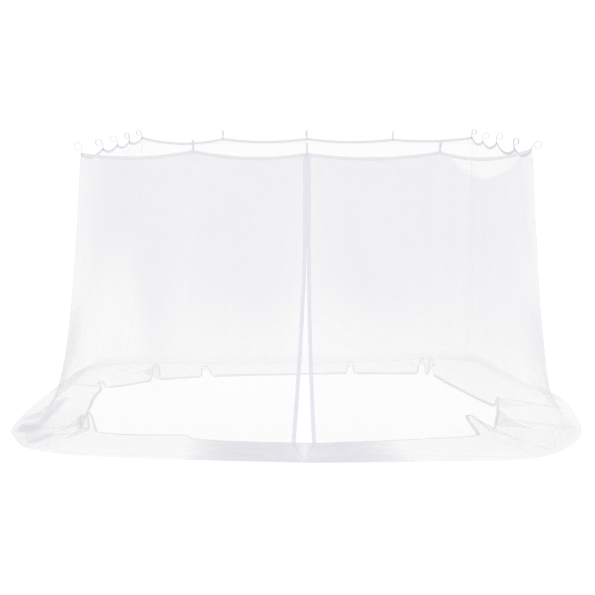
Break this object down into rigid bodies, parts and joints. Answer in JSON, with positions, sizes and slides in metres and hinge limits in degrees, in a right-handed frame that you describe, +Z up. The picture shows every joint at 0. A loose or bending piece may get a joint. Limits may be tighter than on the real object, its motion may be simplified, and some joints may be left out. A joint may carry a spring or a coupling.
{
  "type": "gazebo mosquito net",
  "caption": "Sheer net walls for a square gazebo, hung from open hooks, with a zipped front and a floor layer that ends in a taped hem.",
  "frame": {"origin": "on the floor, under the middle of the hung net's bounding box", "axes": "+Z up, -Y towards the zipped front, +X to the right when looking at the front from outside"},
  "size_m": [4.2546, 3.3718, 2.1358],
  "materials": {
    "net": "sheer polyester mesh, semi-transparent",
    "binding_tape": "plain woven polyester binding",
    "zip_tape": "woven zip tape with a nylon coil",
    "zip_slider": "white enamelled slider and pull",
    "hook": "smooth moulded white plastic"
  },
  "bodies": {
    "root": {"leaf_left": "net", "wall_left": "net", "wall_back": "net", "wall_right": "net", "leaf_right": "net", "heading_front_left": "binding_tape", "heading_left": "binding_tape", "heading_back": "binding_tape", "heading_right": "binding_tape", "heading_front_right": "binding_tape", "hem_front_left": "binding_tape", "hem_left": "binding_tape", "hem_back": "binding_tape", "hem_right": "binding_tape", "hem_front_right": "binding_tape", "zip_tape_left": "zip_tape", "zip_tape_right": "zip_tape", "zip_slider": "zip_slider", "zip_pull": "zip_slider", "hook_01": "hook", "hook_02": "hook", "hook_03": "hook", "hook_04": "hook", "hook_05": "hook", "hook_06": "hook", "hook_07": "hook", "hook_08": "hook", "hook_09": "hook", "hook_10": "hook", "hook_11": "hook", "hook_12": "hook", "hook_13": "hook", "hook_14": "hook", "hook_15": "hook", "hook_16": "hook"}
  },
  "joints": []
}
